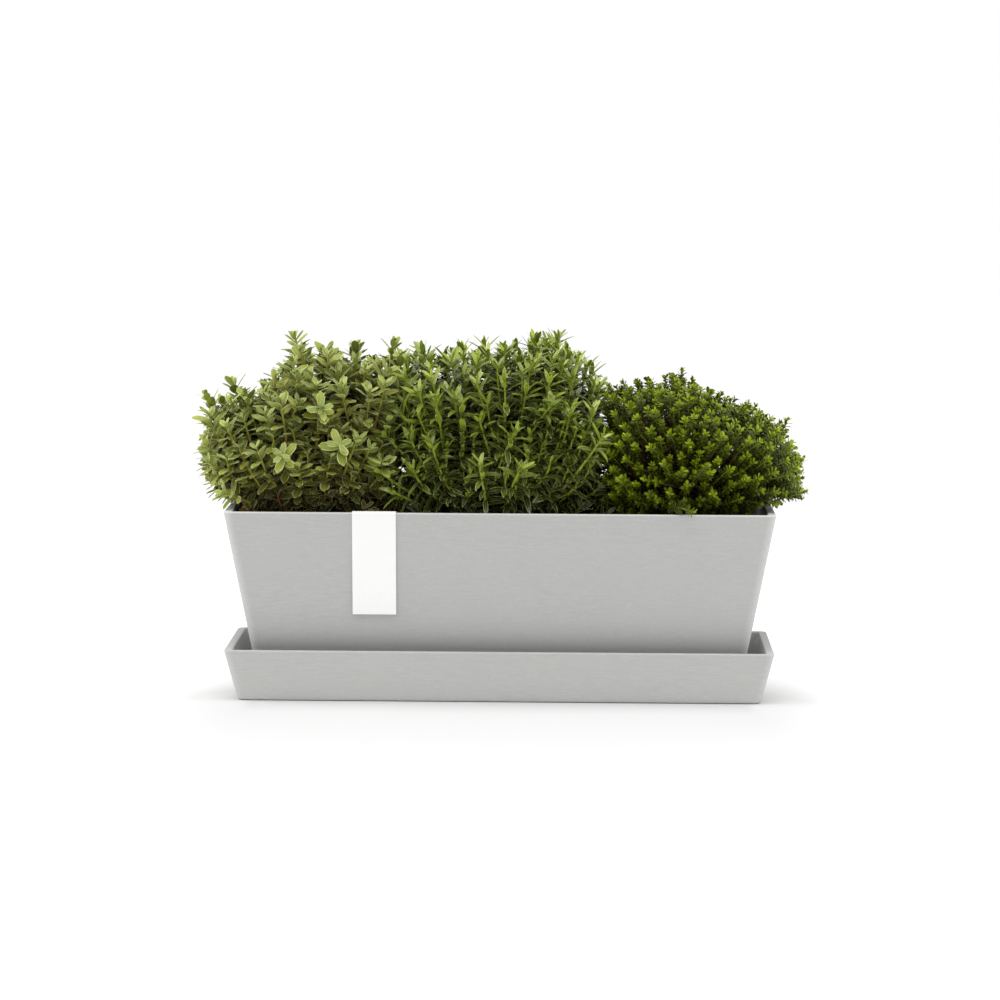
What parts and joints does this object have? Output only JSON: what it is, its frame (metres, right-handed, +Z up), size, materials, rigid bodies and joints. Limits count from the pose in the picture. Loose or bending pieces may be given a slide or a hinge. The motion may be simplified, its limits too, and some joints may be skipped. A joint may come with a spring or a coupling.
{
  "type": "planted plant pot with saucer",
  "caption": "Long rectangular plant pot with leaning walls in a matching saucer, planted with small evergreen shrubs, with a blank card label on its rim.",
  "frame": {"origin": "middle of the saucer's underside, on the surface that it stands on", "axes": "+Z up, +X along the pot to the right, -Y towards the front with the label"},
  "size_m": [0.4116, 0.1293, 0.2465],
  "materials": {
    "stone_resin": "matt light grey, fine horizontal streaks",
    "white_card": "plain white card, uncoated",
    "potting_soil": "dark crumbly compost",
    "root_ball": "compost bound by fine roots",
    "cream_edged_leaf": "satin grey-green leaf with a cream margin",
    "narrow_green_leaf": "glossy bright green leaf",
    "fine_dark_leaf": "satin dark green leaf with a lighter tip"
  },
  "bodies": {
    "saucer": {"saucer": "stone_resin"},
    "pot": {"pot": "stone_resin", "potting_soil": "potting_soil"},
    "label": {"label_card": "white_card"},
    "left_plant": {"left_root_ball": "root_ball", "left_shrub": "cream_edged_leaf"},
    "middle_plant": {"middle_root_ball": "root_ball", "middle_shrub": "narrow_green_leaf"},
    "right_plant": {"right_root_ball": "root_ball", "right_shrub": "fine_dark_leaf"}
  },
  "joints": [
    {"name": "pot_lift", "type": "slide", "parent": "saucer", "child": "pot", "axis": [0, 0, 1], "range_m": [0, 0.05]},
    {"name": "label_lift", "type": "slide", "parent": "pot", "child": "label", "axis": [0, -0.1819, 0.9833], "range_m": [0, 0.075]},
    {"name": "left_plant_lift", "type": "slide", "parent": "pot", "child": "left_plant", "axis": [0, 0, 1], "range_m": [0, 0.1]},
    {"name": "middle_plant_lift", "type": "slide", "parent": "pot", "child": "middle_plant", "axis": [0, 0, 1], "range_m": [0, 0.1]},
    {"name": "right_plant_lift", "type": "slide", "parent": "pot", "child": "right_plant", "axis": [0, 0, 1], "range_m": [0, 0.1]}
  ]
}
